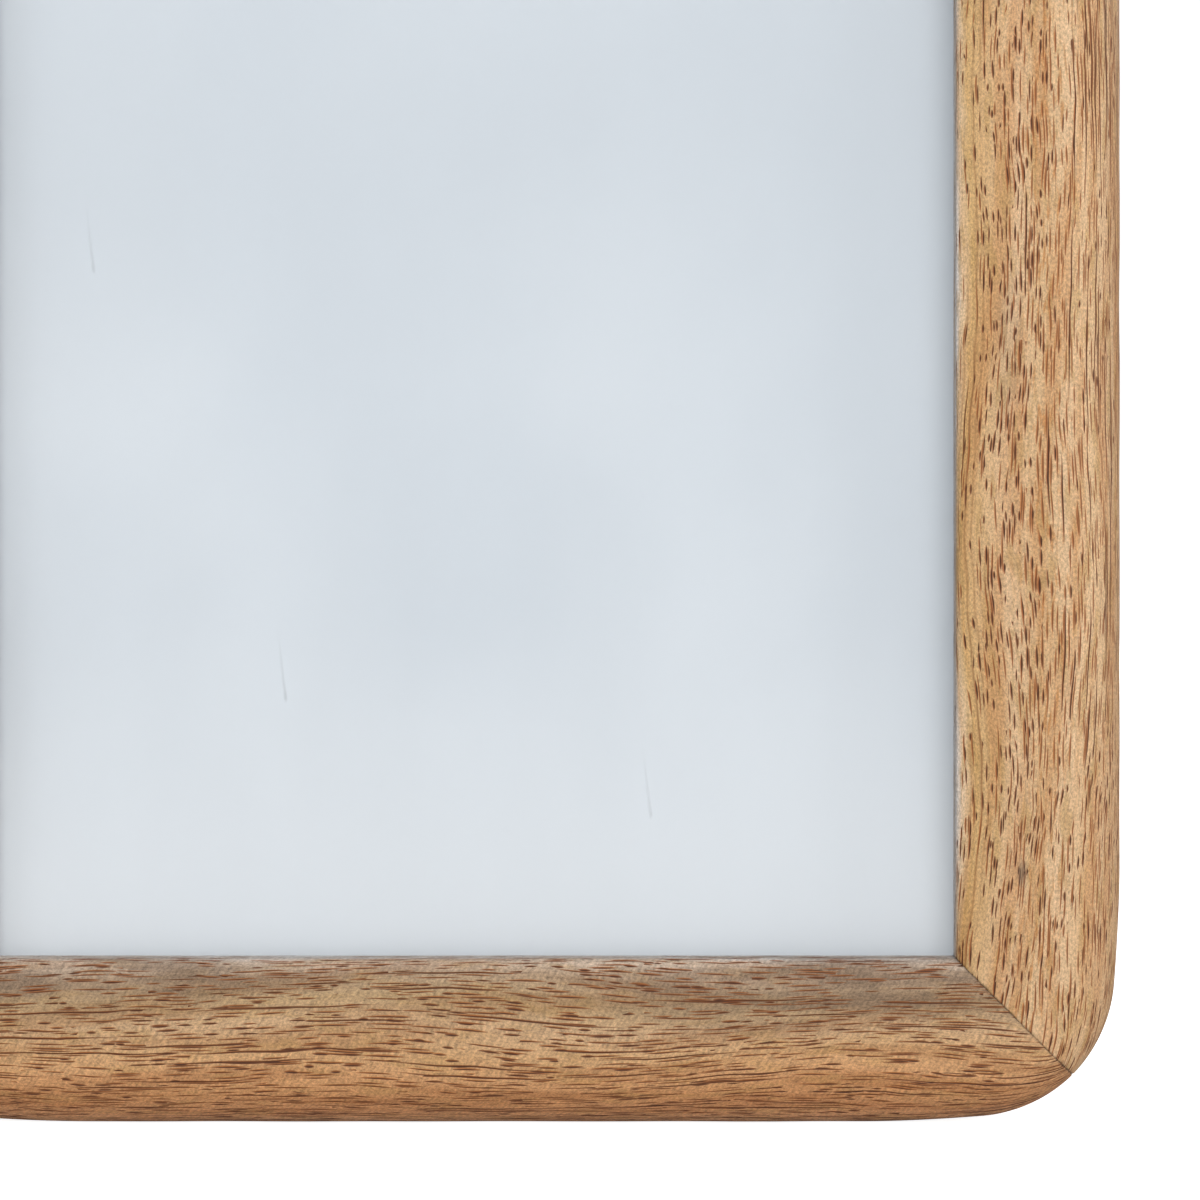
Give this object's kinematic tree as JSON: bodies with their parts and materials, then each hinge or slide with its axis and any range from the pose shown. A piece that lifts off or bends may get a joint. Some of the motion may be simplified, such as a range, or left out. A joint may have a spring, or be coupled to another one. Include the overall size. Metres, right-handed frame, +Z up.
{
  "type": "picture frame",
  "caption": "Upright mitred wood picture frame with rounded corners, clear pane, back board held by turn buttons, hinged easel leg and sawtooth hangers.",
  "frame": {"origin": "middle of the flat strip on the underside that the frame stands on", "axes": "+Z up along the height, +X to the right as seen from the front, +Y towards the back, so the front looks along -Y"},
  "size_m": [0.1694, 0.0226, 0.2194],
  "materials": {
    "mango_wood": "satin lacquered mango wood, each moulding its own tone",
    "clear_glazing": "clear 2 mm pane",
    "insert_paper": "blank pale blue-grey paper",
    "grey_card": "raw corrugated card",
    "back_hardboard": "dark brown faced hardboard with a fine felt-like nap",
    "zinc_steel": "zinc-plated pressed steel",
    "brassed_steel": "brass-plated steel",
    "bumper_rubber": "soft dark rubber"
  },
  "bodies": {
    "frame": {"bottom_rail": "mango_wood", "right_stile": "mango_wood", "top_rail": "mango_wood", "left_stile": "mango_wood", "corner_v_nails": "zinc_steel", "glazing_pane": "clear_glazing", "insert_sheet": "insert_paper", "filler_board": "grey_card", "back_board": "back_hardboard", "turn_button_screws": "zinc_steel", "hinge_board_leaf": "zinc_steel", "hinge_pin": "zinc_steel", "board_leaf_rivets": "zinc_steel", "hanger_portrait": "brassed_steel", "hanger_landscape": "brassed_steel", "hanger_nails": "brassed_steel", "wall_bumpers": "bumper_rubber"},
    "easel": {"easel_leg": "back_hardboard", "hinge_leg_leaf": "zinc_steel", "leg_leaf_rivets": "zinc_steel"},
    "turn_button_lower_left": {"turn_button_lower_left": "zinc_steel"},
    "turn_button_upper_left": {"turn_button_upper_left": "zinc_steel"},
    "turn_button_lower_right": {"turn_button_lower_right": "zinc_steel"},
    "turn_button_upper_right": {"turn_button_upper_right": "zinc_steel"}
  },
  "joints": [
    {"name": "easel_leg_swing", "type": "hinge", "parent": "frame", "child": "easel", "pos_m": [0, 0.0081, 0.14], "axis": [1, 0, 0], "range_deg": [0, 26]},
    {"name": "turn_button_lower_left_turn", "type": "hinge", "parent": "frame", "child": "turn_button_lower_left", "pos_m": [-0.0715, 0.0071, 0.048], "axis": [0, 1, 0], "continuous": true},
    {"name": "turn_button_upper_left_turn", "type": "hinge", "parent": "frame", "child": "turn_button_upper_left", "pos_m": [-0.0715, 0.0071, 0.1714], "axis": [0, 1, 0], "continuous": true},
    {"name": "turn_button_lower_right_turn", "type": "hinge", "parent": "frame", "child": "turn_button_lower_right", "pos_m": [0.0715, 0.0071, 0.048], "axis": [0, 1, 0], "continuous": true},
    {"name": "turn_button_upper_right_turn", "type": "hinge", "parent": "frame", "child": "turn_button_upper_right", "pos_m": [0.0715, 0.0071, 0.1714], "axis": [0, 1, 0], "continuous": true}
  ]
}
